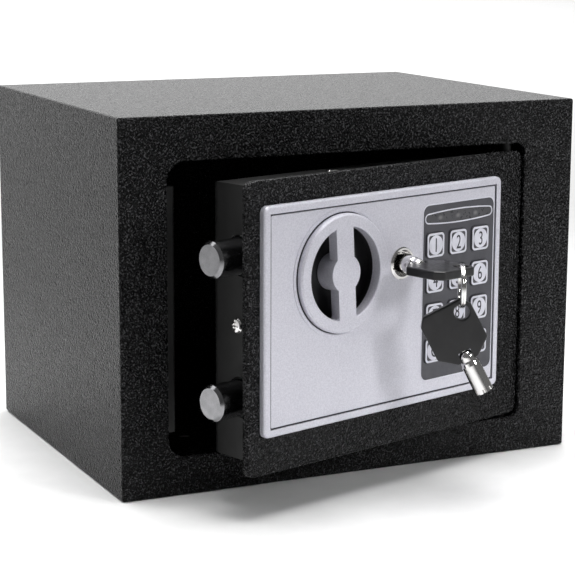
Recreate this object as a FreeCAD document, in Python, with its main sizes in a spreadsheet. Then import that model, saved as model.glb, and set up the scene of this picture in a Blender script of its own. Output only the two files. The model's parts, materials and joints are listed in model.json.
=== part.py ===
import FreeCAD, Part
import math
import os
import re
import Sketcher
from FreeCAD import Placement, Rotation, Vector

# Small electronic safe, door standing ajar.  Millimetres, +Z up, front towards -Y.
# Origin: middle of the cabinet's underside.
# Door parts are drawn with the door shut and then swung about the hinge line.
# "out" is the distance towards the front, so out = -Y on the shut door.

doc = FreeCAD.newDocument("safe")
sheet = doc.addObject("Spreadsheet::Sheet", "dims")

SIZES = [
    # cabinet
    ("cab_wide", 230), ("cab_deep", 175), ("cab_tall", 170), ("cab_sheet", 1.5), ("cab_bend", 1.2),
    ("front_thick", 2), ("front_edge", 0.7),
    ("open_left", -92.6), ("open_right", 88.7), ("open_low", 17.2), ("open_top", 150),
    ("open_round", 9), ("open_round_hinge", 4.5), ("fix_gap", 100), ("fix_radius", 4), ("fix_high", 85),
    ("keeper_left", -106), ("keeper_edge", -88.5), ("keeper_low", 29), ("keeper_top", 139),
    ("keeper_thick", 3),
    # hinge
    ("hinge_x", 81.8), ("hinge_out", 81.5), ("door_open", 17), ("pin_radius", 2.5), ("pin_fit", 0.06),
    ("leaf_thick", 2.5), ("leaf_gap", 1.5), ("leaf_left", 70), ("leaf_right", 93), ("leaf_back", 74),
    ("upright_tall", 12),
    # door plate and tray
    ("front_out", 87.5), ("plate_left", -85.4), ("plate_right", 86.8), ("plate_low", 19),
    ("plate_top", 146.5), ("plate_thick", 3), ("plate_round", 4.5), ("plate_edge", 0.8),
    ("tray_left", -75.4), ("tray_right", 86), ("tray_inset", 3.7), ("tray_back", 52.5),
    ("tray_wall", 1.2), ("tray_round", 4),
    ("screw_head", 3.4), ("screw_tall", 2), ("screw_shank", 1.6), ("screw_long", 6),
    ("screw_out", 70.2), ("screw_high", 82),
    # faceplate
    ("face_left", -78.4), ("face_right", 69.4), ("face_low", 36), ("face_top", 135.8),
    ("face_thick", 3), ("face_sink", 0.5), ("rim_wide", 3.4), ("groove_wide", 0.8),
    ("groove_deep", 0.6), ("face_round", 3), ("face_edge", 1.1), ("stud_radius", 1.5), ("stud_out", 80.5),
    ("stud_left", -65), ("stud_right", 9), ("stud_low", 43), ("stud_top", 129),
    # keypad
    ("pad_left", 17), ("pad_right", 65), ("pad_low", 45.4), ("pad_top", 127.1), ("pad_round", 4),
    ("pad_thick", 0.6), ("pad_slack", 0.15), ("pocket_edge", 1.5),
    ("key_size", 11.5), ("key_slack", 0.2), ("key_first", 25), ("key_pitch", 15), ("row_first", 108.3),
    ("row_pitch", 16.3), ("key_back", 88.4), ("key_front", 90.8), ("key_round", 2),
    ("lamp_first", 28.4), ("lamp_pitch", 11.7), ("lamp_high", 120.5), ("lamp_radius", 1.5),
    ("window_half", 22.2), ("window_end", 1.9), ("window_mid", 3.2), ("window_x", 41),
    # knob and its well
    ("knob_x", -33.2), ("knob_z", 102.5), ("knob_radius", 26.3), ("knob_back", 90.3),
    ("knob_front", 93), ("ring_inner", 20.7), ("skirt_radius", 22), ("skirt_back", 88),
    ("bar_half", 5), ("window_round", 1.4), ("boss_radius", 8.3), ("hub_back", 83.3), ("knob_lean", 3.5),
    ("well_inner", 22.6), ("well_outer", 23.8), ("well_floor", 83), ("well_skin", 1.2),
    ("well_flange", 26), ("bead_inner", 27.2), ("bead_outer", 28.6), ("bead_tall", 0.3),
    # boltwork
    ("shaft_radius", 4), ("shaft_fit", 0.06), ("crank_front", 68), ("crank_back", 65.5),
    ("crank_arm", 9.192), ("crank_half", 4), ("crank_pin", 2.5), ("pin_back", 61.5), ("throw", 13),
    ("bolt_radius", 8), ("bolt_end", -92.5), ("bolt_tail", -52), ("bolt_out", 71.5),
    ("bolt_high", 112.5), ("bolt_low", 50.5), ("bolt_chamfer", 1.3), ("bolt_flat", 6.5),
    ("bar_left", -61), ("bar_right", -49), ("bar_low", 42), ("bar_top", 121), ("tongue_right", -29),
    ("tongue_low", 97), ("bar_thick", 2), ("slot_slack", 0.35),
    ("guide_left", -71.5), ("guide_right", -69), ("bolt_fit", 0.06),
    # lock and keys
    ("lock_x", 3.9), ("lock_z", 102.4), ("bezel_radius", 7.4), ("bezel_front", 91),
    ("barrel_radius", 6.6), ("barrel_back", 72), ("bore_radius", 5.46), ("recess_radius", 6.1),
    ("plug_radius", 5.4), ("plug_front", 85.5), ("plug_back", 70), ("spindle_back", 67.5),
    ("tube_radius", 4.2), ("tube_inner", 3.2), ("tube_long", 16.2),
    ("cut_radius", 0.75), ("cut_long", 1.8), ("dome_radius", 3.5), ("dome_collar", 1),
    ("stem_radius", 1.4), ("stem_long", 7.5), ("head_out", 99), ("head_thick", 4),
    ("head_neck", 5.2), ("head_half", 12.2),
    ("head_crown", 9.3), ("head_long", 26.1), ("head_flare", 5.6), ("head_chamfer", 4.1),
    ("eye_across", 6.9), ("eye_inset", 5.6), ("eye_radius", 3.4), ("head_fillet", 0.8),
    ("ring_radius", 9.15), ("wire_radius", 0.6), ("wire_gap", 0.5), ("ring_drop", 5.9),
    ("ring_yaw", -42.2), ("spare_lean", 27.5), ("spare_drop", 2.1),
    # main board on its posts, buzzer and reset button
    ("board_left", -5), ("board_right", 72), ("board_front", 61.6), ("board_back", 60),
    ("board_low", 92), ("board_top", 138), ("post_radius", 2.5), ("post_left", -1), ("post_right", 68),
    ("post_low", 96), ("post_top", 134), ("buzzer_x", 10), ("buzzer_z", 128), ("buzzer_radius", 6),
    ("buzzer_hole", 1), ("buzzer_tall", 5), ("reset_x", 60), ("reset_z", 118), ("reset_radius", 4),
    ("reset_back", 50.6), ("reset_step", 55), ("reset_front", 56.5), ("reset_flange", 5),
    ("reset_hole", 4.3), ("rear_left", 22.5), ("rear_right", 77.5), ("rear_low", 32.5), ("rear_top", 83),
    # solenoid coil and its plunger
    ("coil_left", -34), ("coil_right", -16), ("coil_front", 72), ("coil_low", 62), ("coil_top", 86),
    ("plunger_x", -25), ("plunger_out", 64), ("plunger_radius", 3), ("plunger_low", 70),
    ("plunger_top", 95.5), ("rivet_inset", 5), ("rivet_radius", 2), ("rivet_head", 4),
    ("guide_back", 60), ("guide_low", 39), ("guide_top", 124), ("foot_wide", 7.5), ("foot_thick", 2),
    ("foot_low", 62), ("foot_top", 100),
    # battery holder, its four cells and its cover
    ("holder_left", 19.5), ("holder_right", 80.5), ("holder_front", 69.5), ("holder_low", 30),
    ("holder_top", 85.5), ("holder_wall", 1.2), ("holder_floor", 0.6), ("cell_radius", 7),
    ("cell_first", 29), ("cell_pitch", 14.2), ("cell_out", 61.5), ("cell_low", 32.2), ("cell_top", 81.6),
    ("tip_radius", 2.6), ("tip_tall", 1.1), ("cover_left", 20), ("cover_right", 80),
    ("cover_back", 1.7), ("cover_thick", 1.6), ("cover_round", 3), ("grip_first", 66),
    ("grip_pitch", 3), ("grip_wide", 1.2), ("grip_low", 46), ("grip_top", 70), ("grip_deep", 0.6),
]

ALIASES = set()
for line, (alias, value) in enumerate(SIZES, start=1):
    sheet.set("A%d" % line, alias)
    sheet.set("B%d" % line, str(value))
    sheet.setAlias("B%d" % line, alias)
    ALIASES.add(alias)
scratch = doc.addObject("Spreadsheet::Sheet", "scratch")
doc.recompute()


def val(alias):
    """Number held in the sheet."""
    return float(sheet.get(alias))


def formula(text):
    """Turn plain size names into references to the sheet."""
    return re.sub(r"[a-z_]+", lambda m: "dims." + m.group(0) if m.group(0) in ALIASES else m.group(0),
                  str(text))


def number(text):
    """Value of a formula, for drawing a sketch before its constraints hold it."""
    return worked_out(re.sub(r"[a-z_]+", lambda m: repr(val(m.group(0))), str(text)))


def worked_out(text):
    """Value of plain arithmetic, worked out by a cell of a spare sheet."""
    scratch.set("A1", "=" + text)
    scratch.recompute()
    return float(scratch.get("A1"))


HINGE = Vector(val("hinge_x"), -val("hinge_out"), 0)
SWING = Rotation(Vector(0, 0, 1), val("door_open"))
DOOR = Placement(HINGE, SWING).multiply(Placement(HINGE.negative(), Rotation()))
CABINET = Placement()


# ---------------------------------------------------------------- drawing helpers

def new_body(name):
    body = doc.addObject("PartDesign::Body", name)
    body.Label = name
    return body


def origin_plane(body, role):
    for item in body.Origin.OriginFeatures:
        if item.Role == role:
            return item
    raise ValueError(role)


def new_sketch(body, role, offset="0"):
    """Sketch on one of the body's own origin planes, moved along the plane's normal."""
    sketch = body.newObject("Sketcher::SketchObject", body.Name + "_sketch")
    sketch.AttachmentSupport = (origin_plane(body, role), [""])
    sketch.MapMode = "FlatFace"
    sketch.setExpression("AttachmentOffset.Base.z", formula(offset))
    return sketch


def hold(sketch, kind, place, text):
    """Distance from the sketch origin to a point, bound to the sheet."""
    index = sketch.addConstraint(Sketcher.Constraint(kind, -1, 1, place[0], place[1], number(text)))
    sketch.setExpression("Constraints[%d]" % index, formula(text))


def outline(sketch, corners):
    """Closed polygon; every corner is held by two bound distances."""
    first = sketch.GeometryCount
    count = len(corners)
    points = [Vector(number(x), number(y), 0) for x, y in corners]
    for i in range(count):
        sketch.addGeometry(Part.LineSegment(points[i], points[(i + 1) % count]), False)
    for i in range(count):
        follow = first + (i + 1) % count
        sketch.addConstraint(Sketcher.Constraint("Coincident", first + i, 2, follow, 1))
    for i, (x, y) in enumerate(corners):
        hold(sketch, "DistanceX", (first + i, 1), x)
        hold(sketch, "DistanceY", (first + i, 1), y)


def rectangle(sketch, left, right, low, top):
    outline(sketch, [(left, low), (right, low), (right, top), (left, top)])


def circle(sketch, x, y, radius):
    middle = Vector(number(x), number(y), 0)
    index = sketch.addGeometry(Part.Circle(middle, Vector(0, 0, 1), number(radius)), False)
    bound = sketch.addConstraint(Sketcher.Constraint("Radius", index, number(radius)))
    sketch.setExpression("Constraints[%d]" % bound, formula(radius))
    hold(sketch, "DistanceX", (index, 3), x)
    hold(sketch, "DistanceY", (index, 3), y)


def pad(body, sketch, length):
    feature = body.newObject("PartDesign::Pad", body.Name + "_pad")
    feature.Profile = sketch
    feature.setExpression("Length", formula(length))
    sketch.Visibility = False
    doc.recompute()
    return feature


def pocket(body, sketch, length, both_ways=False, backwards=False):
    """Cut against the sketch's normal, along it when backwards, or both ways."""
    before = body.Shape.Volume
    feature = body.newObject("PartDesign::Pocket", body.Name + "_pocket")
    feature.Profile = sketch
    feature.Midplane = both_ways
    feature.Reversed = backwards
    feature.setExpression("Length", formula(length))
    sketch.Visibility = False
    doc.recompute()
    if body.Shape.Volume > before - 0.01:
        raise ValueError("pocket cuts nothing: " + feature.Name)
    return feature


def revolve(body, sketch, axis):
    feature = body.newObject("PartDesign::Revolution", body.Name + "_turned")
    feature.Profile = sketch
    feature.ReferenceAxis = (sketch, [axis])
    feature.Angle = 360
    sketch.Visibility = False
    doc.recompute()
    return feature


def is_along(edge, direction):
    if len(edge.Vertexes) != 2 or edge.Curve.TypeId != "Part::GeomLine":
        return False
    step = edge.Vertexes[1].Point.sub(edge.Vertexes[0].Point)
    return step.cross(direction).Length < 1e-6 * max(step.Length, 1)


def lies_at(edge, level):
    """True for an edge lying in the plane y = level."""
    return abs(edge.BoundBox.YMin - level) < 1e-4 and abs(edge.BoundBox.YMax - level) < 1e-4


def beyond(edge, rim):
    """True where the middle of the edge lies outside the rectangle rim (left, right, low, top)."""
    middle = edge.BoundBox.Center
    return not (rim[0] < middle.x < rim[1] and rim[2] < middle.z < rim[3])


def round_edges(body, radius, chosen):
    """Fillet the edges of the body's tip for which chosen(edge) is true."""
    names = []
    for i, edge in enumerate(body.Tip.Shape.Edges, start=1):
        if chosen(edge):
            names.append("Edge%d" % i)
    if not names:
        raise ValueError("no edges to round on " + body.Name)
    base = body.Tip
    feature = body.newObject("PartDesign::Fillet", body.Name + "_rounded")
    feature.Base = (base, names)
    feature.setExpression("Radius", formula(radius))
    doc.recompute()
    return feature


def box(name, left, right, front, back, low, top):
    """Box given by its faces; front and back are distances out."""
    item = doc.addObject("Part::Box", name)
    item.setExpression("Length", formula("(%s) - (%s)" % (right, left)))
    item.setExpression("Width", formula("(%s) - (%s)" % (front, back)))
    item.setExpression("Height", formula("(%s) - (%s)" % (top, low)))
    item.setExpression("Placement.Base.x", formula(left))
    item.setExpression("Placement.Base.y", formula("0 - (%s)" % front))
    item.setExpression("Placement.Base.z", formula(low))
    return item


def upright_rod(name, radius, x, out, low, top):
    """Cylinder standing along Z."""
    item = doc.addObject("Part::Cylinder", name)
    item.setExpression("Radius", formula(radius))
    item.setExpression("Height", formula("(%s) - (%s)" % (top, low)))
    item.setExpression("Placement.Base.x", formula(x))
    item.setExpression("Placement.Base.y", formula("0 - (%s)" % out))
    item.setExpression("Placement.Base.z", formula(low))
    return item


def level_rod(name, radius, x, z, back, front):
    """Cylinder lying along Y, between two distances out."""
    item = doc.addObject("Part::Cylinder", name)
    item.setExpression("Radius", formula(radius))
    item.setExpression("Height", formula("(%s) - (%s)" % (front, back)))
    item.Placement = Placement(Vector(0, 0, 0), Rotation(Vector(1, 0, 0), 90))
    item.setExpression("Placement.Base.x", formula(x))
    item.setExpression("Placement.Base.y", formula("0 - (%s)" % back))
    item.setExpression("Placement.Base.z", formula(z))
    return item


def joined(name, pieces):
    item = doc.addObject("Part::MultiFuse", name)
    item.Shapes = pieces
    return item


def cut_away(name, base, tool):
    item = doc.addObject("Part::Cut", name)
    item.Base = base
    item.Tool = tool
    return item


def group(name, pieces):
    """Identical separate solids kept as one node."""
    item = doc.addObject("Part::Compound", name)
    item.Links = pieces
    return item


NODES = []


def node(item, name, place=CABINET):
    """Name a finished piece and move it to its place."""
    item.Label = name
    item.Placement = place
    NODES.append((name, item))


def turned(name, corners, axis="V_Axis"):
    """Turned piece: corners are (radius, -out) about the Y axis, or (x, radius) about X."""
    body = new_body(name)
    sketch = new_sketch(body, "XY_Plane")
    outline(sketch, corners)
    revolve(body, sketch, axis)
    return body


def at(x, out, z):
    return Placement(Vector(x, -out, z), Rotation())


ALONG_X = Vector(1, 0, 0)
ALONG_Y = Vector(0, 1, 0)
ALONG_Z = Vector(0, 0, 1)


# ---------------------------------------------------------------- cabinet

def make_cabinet():
    # top, sides and base: one folded sheet, open at both ends
    wrap = new_body("body_wrap")
    sketch = new_sketch(wrap, "XZ_Plane", "0 - cab_deep / 2")
    rectangle(sketch, "0 - cab_wide / 2", "cab_wide / 2", "0", "cab_tall")
    rectangle(sketch, "cab_sheet - cab_wide / 2", "cab_wide / 2 - cab_sheet",
              "cab_sheet", "cab_tall - cab_sheet")
    pad(wrap, sketch, "cab_deep - front_thick")
    half = val("cab_wide") / 2
    round_edges(wrap, "cab_bend", lambda e: is_along(e, ALONG_Y) and abs(abs(e.CenterOfMass.x) - half) < 0.1)
    holes = new_sketch(wrap, "XY_Plane", "cab_sheet + 1")
    circle(holes, "0 - fix_gap / 2", "0", "fix_radius")
    circle(holes, "fix_gap / 2", "0", "fix_radius")
    pocket(wrap, holes, "cab_sheet + 2")
    node(wrap, "body_wrap")

    # front panel with the door opening
    frame = new_body("front_frame")
    sketch = new_sketch(frame, "XZ_Plane", "front_out - front_thick")
    rectangle(sketch, "0 - cab_wide / 2", "cab_wide / 2", "0", "cab_tall")
    rectangle(sketch, "open_left", "open_right", "open_low", "open_top")
    pad(frame, sketch, "front_thick")
    round_edges(frame, "cab_bend", lambda e: is_along(e, ALONG_Y) and abs(e.CenterOfMass.x) > half - 0.1)
    round_edges(frame, "open_round",
                lambda e: is_along(e, ALONG_Y) and -half + 5 < e.CenterOfMass.x < 0)
    round_edges(frame, "open_round_hinge",
                lambda e: is_along(e, ALONG_Y) and 0 < e.CenterOfMass.x < half - 5)
    face = -val("front_out")
    round_edges(frame, "front_edge", lambda e: lies_at(e, face))
    node(frame, "front_frame")

    # back panel set inside the wrap, with two wall fixing holes
    back = new_body("back_plate")
    sketch = new_sketch(back, "XZ_Plane", "0 - cab_deep / 2")
    rectangle(sketch, "cab_sheet - cab_wide / 2", "cab_wide / 2 - cab_sheet",
              "cab_sheet", "cab_tall - cab_sheet")
    circle(sketch, "0 - fix_gap / 2", "fix_high", "fix_radius")
    circle(sketch, "fix_gap / 2", "fix_high", "fix_radius")
    pad(back, sketch, "cab_sheet")
    node(back, "back_plate")

    # strip the bolts catch behind
    keeper = new_body("keeper_strip")
    sketch = new_sketch(keeper, "XZ_Plane", "front_out - front_thick - keeper_thick")
    rectangle(sketch, "keeper_left", "keeper_edge", "keeper_low", "keeper_top")
    pad(keeper, sketch, "keeper_thick")
    round_edges(keeper, "1", lambda e: is_along(e, ALONG_Z) and e.CenterOfMass.x > val("keeper_edge") - 1)
    node(keeper, "keeper_strip")

    # angle brackets that take the hinge pins, behind the front panel
    panel_back = "front_out - front_thick"
    for name, low, top, far_low, far_top in (
            ("hinge_bracket_upper", "open_top + leaf_gap", "open_top + leaf_gap + leaf_thick",
             "open_top + leaf_gap", "open_top + leaf_gap + upright_tall"),
            ("hinge_bracket_lower", "open_low - leaf_gap - leaf_thick", "open_low - leaf_gap",
             "open_low - leaf_gap - upright_tall", "open_low - leaf_gap")):
        leaf = box(name + "_leaf", "leaf_left", "leaf_right", panel_back, "leaf_back", low, top)
        upright = box(name + "_upright", "leaf_left", "leaf_right", panel_back,
                      panel_back + " - leaf_thick + 0.5", far_low, far_top)
        angle = joined(name + "_angle", [leaf, upright])
        hole = upright_rod(name + "_hole", "pin_radius + pin_fit", "hinge_x", "hinge_out",
                           low + " - 1", top + " + 1")
        node(cut_away(name, angle, hole), name)


# ---------------------------------------------------------------- door shell

def pan_screw(name, place):
    """Cross-recessed pan head screw; the head stands along +Y from the local origin."""
    body = turned(name, [("0", "0 - screw_long"), ("screw_shank", "0 - screw_long"), ("screw_shank", "0"),
                         ("screw_head", "0"), ("screw_head", "screw_tall * 0.45"),
                         ("screw_head * 0.8", "screw_tall * 0.9"), ("screw_head * 0.4", "screw_tall"),
                         ("0", "screw_tall")])
    for across, tall in ((1.9, 0.42), (0.42, 1.9)):
        slot = new_sketch(body, "XZ_Plane", "0 - screw_tall - 0.5")
        rectangle(slot, str(-across), str(across), str(-tall), str(tall))
        pocket(body, slot, "1.6", backwards=True)
    body.Placement = place
    return body


def make_door_shell():
    plate = new_body("door_plate")
    sketch = new_sketch(plate, "XZ_Plane", "front_out - plate_thick")
    rectangle(sketch, "plate_left", "plate_right", "plate_low", "plate_top")
    circle(sketch, "knob_x", "knob_z", "well_outer + 0.2")
    circle(sketch, "lock_x", "lock_z", "barrel_radius + 0.1")
    rectangle(sketch, "pad_left + pocket_edge", "pad_right - pocket_edge",
              "pad_low + pocket_edge", "pad_top - pocket_edge")
    for x, z in STUDS:
        circle(sketch, x, z, "stud_radius + 0.2")
    pad(plate, sketch, "plate_thick")
    rim = (val("plate_left") + val("plate_round"), val("plate_right") - val("plate_round"),
           val("plate_low") + val("plate_round"), val("plate_top") - val("plate_round"))
    round_edges(plate, "plate_round", lambda e: is_along(e, ALONG_Y) and beyond(e, rim))
    face = -val("front_out")
    round_edges(plate, "plate_edge", lambda e: lies_at(e, face) and beyond(e, rim))
    node(plate, "door_plate", DOOR)

    # cover tray behind the plate, open towards the front
    tray = new_body("door_tray")
    low = "plate_low + tray_inset"
    top = "plate_top - tray_inset"
    sketch = new_sketch(tray, "XZ_Plane", "tray_back")
    rectangle(sketch, "tray_left", "tray_right", low, top)
    pad(tray, sketch, "front_out - plate_thick - tray_back")
    rear = -val("tray_back")
    round_edges(tray, "tray_round", lambda e: lies_at(e, rear))
    inside = new_sketch(tray, "XZ_Plane", "front_out - plate_thick")
    rectangle(inside, "tray_left + tray_wall", "tray_right - tray_wall",
              low + " + tray_wall", top + " - tray_wall")
    pocket(tray, inside, "front_out - plate_thick - tray_back - tray_wall")
    rear_cuts = new_sketch(tray, "XZ_Plane", "tray_back + tray_wall + 1")
    rectangle(rear_cuts, "rear_left", "rear_right", "rear_low", "rear_top")
    circle(rear_cuts, "reset_x", "reset_z", "reset_hole")
    pocket(tray, rear_cuts, "tray_wall + 2")
    side_cuts = new_sketch(tray, "YZ_Plane", "tray_left + tray_wall + 1")
    circle(side_cuts, "0 - bolt_out", "bolt_high", "bolt_radius + 1")
    circle(side_cuts, "0 - bolt_out", "bolt_low", "bolt_radius + 1")
    circle(side_cuts, "0 - screw_out", "screw_high", "screw_shank + 0.1")
    pocket(tray, side_cuts, "tray_wall + 2")
    for level, backwards in (("plate_low + tray_inset - 1", True), ("plate_top - tray_inset + 1", False)):
        holes = new_sketch(tray, "XY_Plane", level)
        circle(holes, "hinge_x", "0 - hinge_out", "pin_radius + 0.1")
        circle(holes, "0 - 20", "0 - screw_out", "screw_shank + 0.1")
        pocket(tray, holes, "tray_wall + 2", backwards=backwards)
    node(tray, "door_tray", DOOR)

    side = val("tray_left")
    low_z = val("plate_low") + val("tray_inset")
    top_z = val("plate_top") - val("tray_inset")
    depth = val("screw_out")
    screws = [
        pan_screw("screw_left", Placement(Vector(side, -depth, val("screw_high")), Rotation(ALONG_Z, 90))),
        pan_screw("screw_top", Placement(Vector(-20, -depth, top_z), Rotation(ALONG_X, 90))),
        pan_screw("screw_low", Placement(Vector(-20, -depth, low_z), Rotation(ALONG_X, -90))),
    ]
    node(group("tray_screws", screws), "tray_screws", DOOR)

    # blocks welded behind the plate hold the hinge pins
    blocks = []
    pins = []
    for name, low, top, pin_low, pin_top in (
            ("upper", "plate_top - tray_inset - tray_wall - 14", "plate_top - tray_inset - tray_wall",
             "plate_top - tray_inset - tray_wall - 14", "open_top + leaf_gap + leaf_thick"),
            ("lower", "plate_low + tray_inset + tray_wall", "plate_low + tray_inset + tray_wall + 14",
             "open_low - leaf_gap - leaf_thick", "plate_low + tray_inset + tray_wall + 14")):
        solid = box("block_" + name, "hinge_x - 6", "hinge_x + 3", "front_out - plate_thick",
                    "hinge_out - 5", low, top)
        hole = upright_rod("block_hole_" + name, "pin_radius", "hinge_x", "hinge_out",
                           low + " - 1", top + " + 1")
        blocks.append(cut_away("block_bored_" + name, solid, hole))
        pins.append(upright_rod("pin_" + name, "pin_radius", "hinge_x", "hinge_out", pin_low, pin_top))
    node(group("hinge_blocks", blocks), "hinge_blocks", DOOR)
    node(group("hinge_pins", pins), "hinge_pins", DOOR)


# ---------------------------------------------------------------- faceplate and keypad

STUDS = [("stud_left", "stud_low"), ("stud_left", "stud_top"),
         ("stud_right", "stud_low"), ("stud_right", "stud_top")]
ROWS = 4
COLUMNS = 3
BUTTONS = ["1", "2", "3", "4", "5", "6", "7", "8", "9", "clear", "0", "enter"]


def key_centre(index):
    column = index % COLUMNS
    line = index // COLUMNS
    return "key_first + %d * key_pitch" % column, "row_first - %d * row_pitch" % line


def window_outline(slack):
    """Six corners of the long indicator window, waisted at its ends."""
    half = "(window_half + %s)" % slack
    end = "(window_end + %s)" % slack
    middle = "(window_mid + %s)" % slack
    return [("window_x - " + half, "lamp_high - " + end), ("window_x", "lamp_high - " + middle),
            ("window_x + " + half, "lamp_high - " + end), ("window_x + " + half, "lamp_high + " + end),
            ("window_x", "lamp_high + " + middle), ("window_x - " + half, "lamp_high + " + end)]


def round_window(body):
    """Soften the window's two middle corners and its four end corners."""
    high = val("lamp_high")
    middle = val("window_x")

    def near(e, x_low, x_high):
        return (is_along(e, ALONG_Y) and abs(e.CenterOfMass.z - high) < 4
                and x_low < abs(e.CenterOfMass.x - middle) < x_high)
    round_edges(body, "1.7", lambda e: near(e, 20, 23))
    round_edges(body, "120", lambda e: near(e, -1, 1))


def make_faceplate():
    face = new_body("faceplate")
    sketch = new_sketch(face, "XZ_Plane", "front_out")
    rectangle(sketch, "face_left", "face_right", "face_low", "face_top")
    circle(sketch, "knob_x", "knob_z", "well_outer + 0.2")
    circle(sketch, "lock_x", "lock_z", "barrel_radius + 0.1")
    rectangle(sketch, "pad_left + pocket_edge", "pad_right - pocket_edge",
              "pad_low + pocket_edge", "pad_top - pocket_edge")
    pad(face, sketch, "face_thick")
    rim = (val("face_left") + val("face_round"), val("face_right") - val("face_round"),
           val("face_low") + val("face_round"), val("face_top") - val("face_round"))
    round_edges(face, "face_round", lambda e: is_along(e, ALONG_Y) and beyond(e, rim))
    front = -val("front_out") - val("face_thick")
    round_edges(face, "face_edge", lambda e: lies_at(e, front) and beyond(e, rim))

    def inset(distance):
        return ("face_left + (%s)" % distance, "face_right - (%s)" % distance,
                "face_low + (%s)" % distance, "face_top - (%s)" % distance)
    sunk = new_sketch(face, "XZ_Plane", "front_out + face_thick")
    rectangle(sunk, *inset("rim_wide"))
    pocket(face, sunk, "face_sink")
    groove = new_sketch(face, "XZ_Plane", "front_out + face_thick - face_sink")
    rectangle(groove, *inset("rim_wide"))
    rectangle(groove, *inset("rim_wide + groove_wide"))
    pocket(face, groove, "groove_deep")
    recess = new_sketch(face, "XZ_Plane", "front_out + face_thick - face_sink")
    rectangle(recess, "pad_left", "pad_right", "pad_low", "pad_top")
    pocket(face, recess, "pad_thick")
    low = val("pad_low") - 0.1
    top = val("pad_top") + 0.1
    sides = (val("pad_left"), val("pad_right"))
    round_edges(face, "pad_round", lambda e: is_along(e, ALONG_Y) and low < e.CenterOfMass.z < top
                and min(abs(e.CenterOfMass.x - side) for side in sides) < 0.1)
    bead = new_sketch(face, "XZ_Plane", "front_out + face_thick - face_sink")
    circle(bead, "knob_x", "knob_z", "bead_outer")
    circle(bead, "knob_x", "knob_z", "bead_inner")
    pad(face, bead, "bead_tall")
    studs = new_sketch(face, "XZ_Plane", "stud_out")
    for x, z in STUDS:
        circle(studs, x, z, "stud_radius")
    pad(face, studs, "front_out - stud_out")
    node(face, "faceplate", DOOR)

    nuts = []
    for index, (x, z) in enumerate(STUDS):
        nuts.append(hex_nut("stud_nut_%d" % index, x, z, "3.2", "stud_radius", "82.1", "84.5"))
    node(group("faceplate_nuts", nuts), "faceplate_nuts", DOOR)

    # cup behind the knob
    well = turned("knob_well", [
        ("well_inner", "0 - (front_out + face_thick - face_sink)"),
        ("well_outer", "0 - (front_out + face_thick - face_sink)"),
        ("well_outer", "plate_thick - front_out"), ("well_flange", "plate_thick - front_out"),
        ("well_flange", "plate_thick + 1.2 - front_out"), ("well_outer", "plate_thick + 1.2 - front_out"),
        ("well_outer", "well_skin - well_floor"), ("shaft_radius + shaft_fit", "well_skin - well_floor"),
        ("shaft_radius + shaft_fit", "0 - well_floor"), ("well_inner", "0 - well_floor")])
    node(well, "knob_well", DOOR.multiply(at(val("knob_x"), 0, val("knob_z"))))


def hex_nut(name, x, z, corner, bore, back, front):
    """Hexagon nut lying along Y; corner is the distance from its middle to a corner."""
    prism = doc.addObject("Part::Prism", name + "_prism")
    prism.Polygon = 6
    prism.setExpression("Circumradius", formula(corner))
    prism.setExpression("Height", formula("(%s) - (%s)" % (front, back)))
    turn = Rotation(ALONG_X, 90).multiply(Rotation(ALONG_Z, 30))
    prism.Placement = Placement(Vector(0, 0, 0), turn)
    prism.setExpression("Placement.Base.x", formula(x))
    prism.setExpression("Placement.Base.y", formula("0 - (%s)" % back))
    prism.setExpression("Placement.Base.z", formula(z))
    hole = level_rod(name + "_hole", bore, x, z, back + " - 1", front + " + 1")
    return cut_away(name, prism, hole)


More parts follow.
